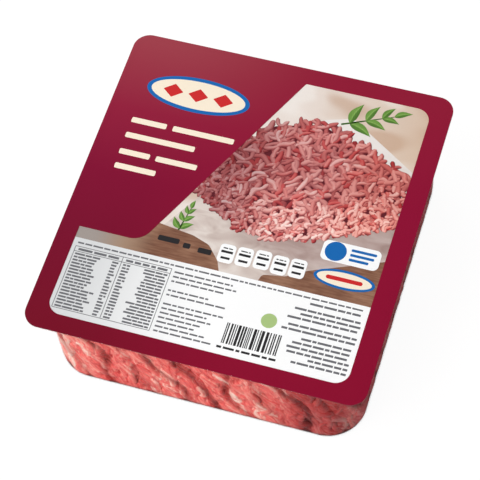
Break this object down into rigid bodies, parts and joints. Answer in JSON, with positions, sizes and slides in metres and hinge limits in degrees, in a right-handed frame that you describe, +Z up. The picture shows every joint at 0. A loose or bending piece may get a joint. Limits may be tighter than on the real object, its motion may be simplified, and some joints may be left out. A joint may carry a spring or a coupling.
{
  "type": "meat tray pack",
  "caption": "Clear rounded square tray filled with minced meat and closed by a flat printed lid film.",
  "frame": {"origin": "middle of the tray's flat base, on the surface that the pack stands on", "axes": "+Z up through the lid film, -Y towards the front side that the picture shows, +X to the right"},
  "size_m": [0.14, 0.146, 0.048],
  "materials": {
    "clear_tray": "clear thermoformed plastic, smooth and glossy",
    "minced_meat": "moist raw minced meat, coral red with pale fat, pressed flat against the tray",
    "printed_film": "opaque crimson printed film with a satin gloss"
  },
  "bodies": {
    "root": {"tray": "clear_tray", "mince": "minced_meat", "lid_film": "printed_film"}
  },
  "joints": []
}
